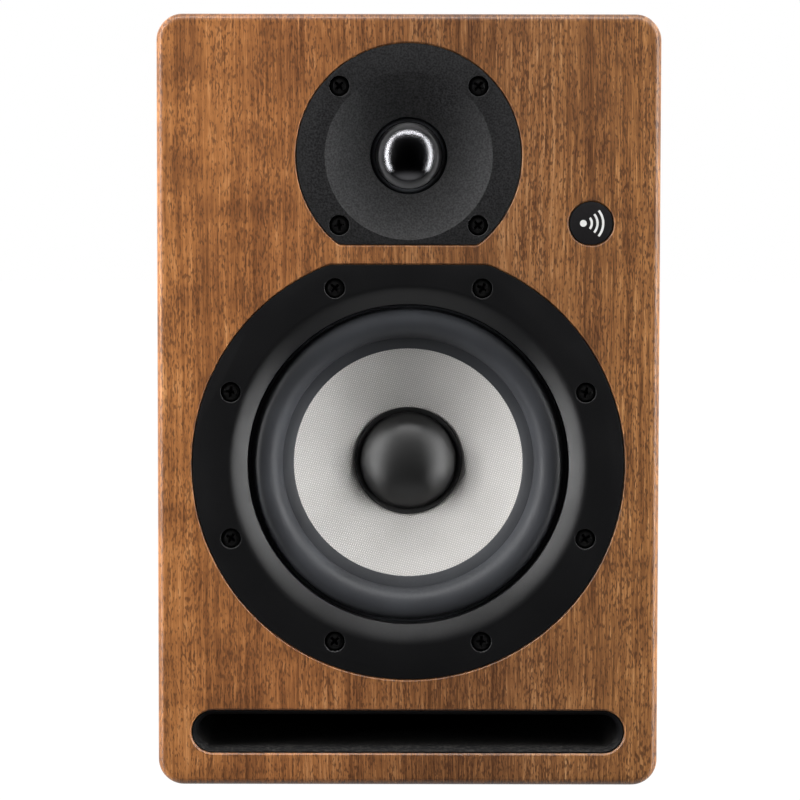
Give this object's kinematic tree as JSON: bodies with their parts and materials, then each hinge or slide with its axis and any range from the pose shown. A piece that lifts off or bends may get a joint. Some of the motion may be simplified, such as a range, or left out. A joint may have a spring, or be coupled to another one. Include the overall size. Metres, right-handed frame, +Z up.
{
  "type": "bookshelf speaker",
  "caption": "Powered bookshelf loudspeaker: walnut cabinet with round corners, woofer in a trim ring, dome tweeter in a shallow dish, slot port, and a rear amplifier plate.",
  "frame": {"origin": "centre of the overall box on its bottom plane, where the cabinet rests", "axes": "+Z up; the front baffle with the drivers faces -Y and the amplifier plate faces +Y; +X is to the right seen from the front"},
  "size_m": [0.185, 0.217, 0.285],
  "materials": {
    "walnut": "satin walnut veneer on board",
    "rear_paint": "black paint on board",
    "trim_ring": "satin black",
    "faceplate": "fine textured black paint",
    "black_plastic": "satin black",
    "badge": "gloss black with a light grey sign",
    "surround": "satin rubber",
    "cone": "fine woven fibre, stiffened",
    "dust_cap": "matte black",
    "dome": "dark anodised, glossy",
    "coil": "enamelled wire",
    "spider": "resin-treated cloth",
    "basket": "black paint",
    "steel": "zinc plated",
    "ferrite": "dull dark grey",
    "gasket": "foam",
    "screw": "black oxide",
    "amp_plate": "black powder coat",
    "heat_sink": "black anodised",
    "circuit_board": "solder-masked laminate",
    "transformer": "taped winding",
    "knob": "soft black",
    "socket_metal": "nickel plated",
    "slider": "red",
    "wadding": "loose polyester wadding",
    "wire": "insulated twin lead"
  },
  "bodies": {
    "cabinet": {"front_baffle": "walnut", "left_side_panel": "walnut", "right_side_panel": "walnut", "top_panel": "walnut", "bottom_panel": "walnut", "rear_panel": "rear_paint", "port_duct": "black_plastic", "badge": "badge", "damping_pad_left": "wadding", "damping_pad_right": "wadding", "damping_pad_top": "wadding", "woofer_trim_ring": "trim_ring", "woofer_gasket": "gasket", "woofer_basket": "basket", "woofer_surround": "surround", "woofer_spider": "spider", "woofer_top_plate": "steel", "woofer_magnet": "ferrite", "woofer_yoke": "steel", "woofer_screw_1": "screw", "woofer_screw_2": "screw", "woofer_screw_3": "screw", "woofer_screw_4": "screw", "woofer_screw_5": "screw", "woofer_screw_6": "screw", "woofer_screw_7": "screw", "woofer_screw_8": "screw", "tweeter_faceplate": "faceplate", "tweeter_surround": "surround", "tweeter_top_plate": "steel", "tweeter_magnet": "ferrite", "tweeter_yoke": "steel", "tweeter_screw_1": "screw", "tweeter_screw_2": "screw", "tweeter_screw_3": "screw", "tweeter_screw_4": "screw", "amp_plate": "amp_plate", "heat_sink": "heat_sink", "amp_board": "circuit_board", "amp_chassis": "steel", "power_transformer": "transformer", "control_board": "circuit_board", "combo_jack": "black_plastic", "phono_jack": "socket_metal", "mains_inlet": "black_plastic", "power_switch_frame": "black_plastic", "voltage_selector": "black_plastic", "woofer_lead": "wire", "tweeter_lead": "wire"},
    "woofer_diaphragm": {"woofer_cone": "cone", "woofer_dust_cap": "dust_cap", "woofer_voice_coil": "coil"},
    "tweeter_diaphragm": {"tweeter_dome": "dome", "tweeter_voice_coil": "coil"},
    "volume": {"volume_knob": "knob"},
    "treble": {"treble_knob": "knob"},
    "bass": {"bass_knob": "knob"},
    "power": {"power_rocker": "black_plastic"},
    "voltage": {"voltage_slider": "slider"},
    "fuse": {"fuse_drawer": "black_plastic"}
  },
  "joints": [
    {"name": "woofer_stroke", "type": "slide", "parent": "cabinet", "child": "woofer_diaphragm", "axis": [0, 1, 0], "range_m": [-0.004, 0.004], "stiffness_N_per_m": 1200, "deforming": ["woofer_surround", "woofer_spider"]},
    {"name": "tweeter_stroke", "type": "slide", "parent": "cabinet", "child": "tweeter_diaphragm", "axis": [0, 1, 0], "range_m": [-0.0004, 0.0004], "stiffness_N_per_m": 6000, "deforming": ["tweeter_surround"]},
    {"name": "volume_turn", "type": "hinge", "parent": "cabinet", "child": "volume", "pos_m": [-0.036, 0.1, 0.168], "axis": [0, 1, 0], "range_deg": [-150, 150]},
    {"name": "treble_turn", "type": "hinge", "parent": "cabinet", "child": "treble", "pos_m": [-0.036, 0.1, 0.143], "axis": [0, 1, 0], "range_deg": [-150, 150]},
    {"name": "bass_turn", "type": "hinge", "parent": "cabinet", "child": "bass", "pos_m": [-0.036, 0.1, 0.122], "axis": [0, 1, 0], "range_deg": [-150, 150]},
    {"name": "power_press", "type": "hinge", "parent": "cabinet", "child": "power", "pos_m": [-0.034, 0.09325, 0.075], "axis": [1, 0, 0], "range_deg": [-16, 0]},
    {"name": "voltage_slide", "type": "slide", "parent": "cabinet", "child": "voltage", "axis": [1, 0, 0], "range_m": [0, 0.004]},
    {"name": "fuse_pull", "type": "slide", "parent": "cabinet", "child": "fuse", "axis": [0, 1, 0], "range_m": [0, 0.018]}
  ]
}
